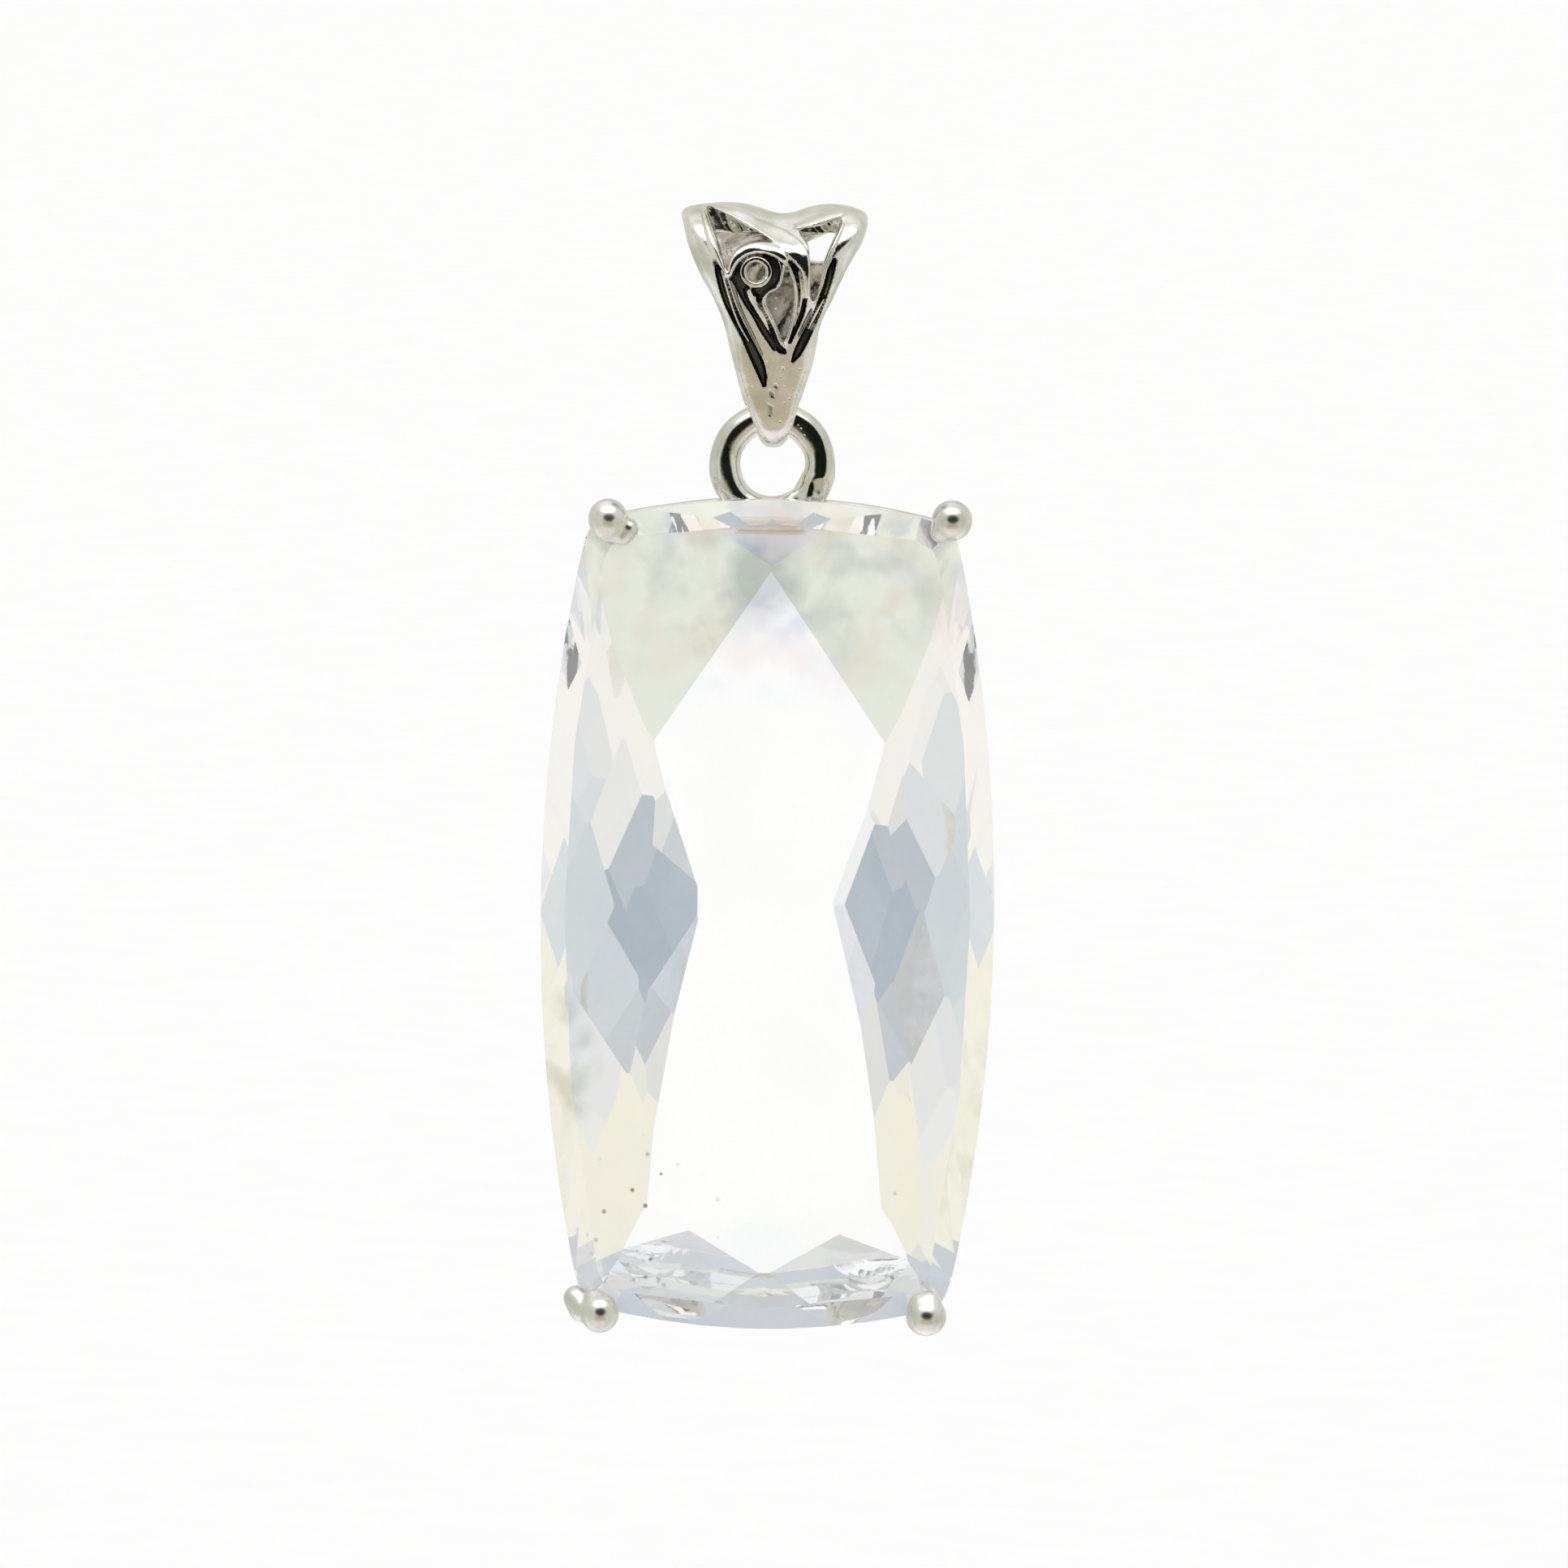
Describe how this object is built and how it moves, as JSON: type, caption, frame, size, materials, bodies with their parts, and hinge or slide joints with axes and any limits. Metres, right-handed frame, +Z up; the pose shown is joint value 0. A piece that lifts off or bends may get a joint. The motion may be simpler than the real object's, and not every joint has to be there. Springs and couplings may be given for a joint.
{
  "type": "quartz pendant",
  "caption": "Pendant with an elongated faceted quartz in a ball-tipped prong setting, hung by a soldered ring from an openwork silver bail.",
  "frame": {"origin": "the seat inside the bail's crown, where the chain that the pendant hangs on runs", "axes": "+X along the chain, to the viewer's right; +Y to the back of the pendant; +Z up"},
  "size_m": [0.018, 0.0092, 0.045],
  "materials": {
    "cast_silver": "polished cast sterling silver",
    "wire_silver": "polished drawn sterling silver wire",
    "quartz": "polished milky quartz"
  },
  "bodies": {
    "bail": {"bail": "cast_silver"},
    "drop": {"setting": "wire_silver", "stone": "quartz"}
  },
  "joints": [
    {"name": "drop_swing", "type": "hinge", "parent": "bail", "child": "drop", "pos_m": [0, 0, -0.00735], "axis": [1, 0, 0], "range_deg": [-75, 75]}
  ]
}
